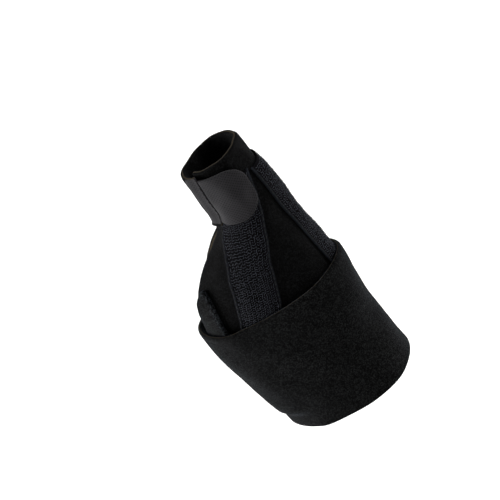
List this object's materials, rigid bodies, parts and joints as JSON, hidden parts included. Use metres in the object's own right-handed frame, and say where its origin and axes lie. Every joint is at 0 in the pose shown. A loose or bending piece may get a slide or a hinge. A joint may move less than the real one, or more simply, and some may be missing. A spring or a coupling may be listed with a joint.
{
  "type": "thumb spica splint",
  "caption": "Soft thumb and wrist splint: a neoprene thumb sleeve with two stay pockets, a closing tab and a broad wrist strap.",
  "frame": {"origin": "middle of the wrist hollow at the strap's lower edge, where the wrist holds the splint up", "axes": "+Z along the forearm to the fingertips, +X to the thumb's side, -Y to the palm's side; right hand"},
  "size_m": [0.0868, 0.0591, 0.159],
  "materials": {
    "panel_neoprene": "black knit faced neoprene, matt, brown foam at the cut edges",
    "strap_neoprene": "black plush faced neoprene, matt, brown foam at the cut edges",
    "loop_tape": "black loop tape with rows of grey loops and flat sewn margins",
    "hook_tape": "charcoal woven hook tape back with small dark dots"
  },
  "bodies": {
    "root": {"thumb_panel": "panel_neoprene", "palm_stay_pocket": "loop_tape", "back_stay_pocket": "loop_tape", "thumb_tab": "hook_tape", "wrist_strap": "strap_neoprene"}
  },
  "joints": []
}
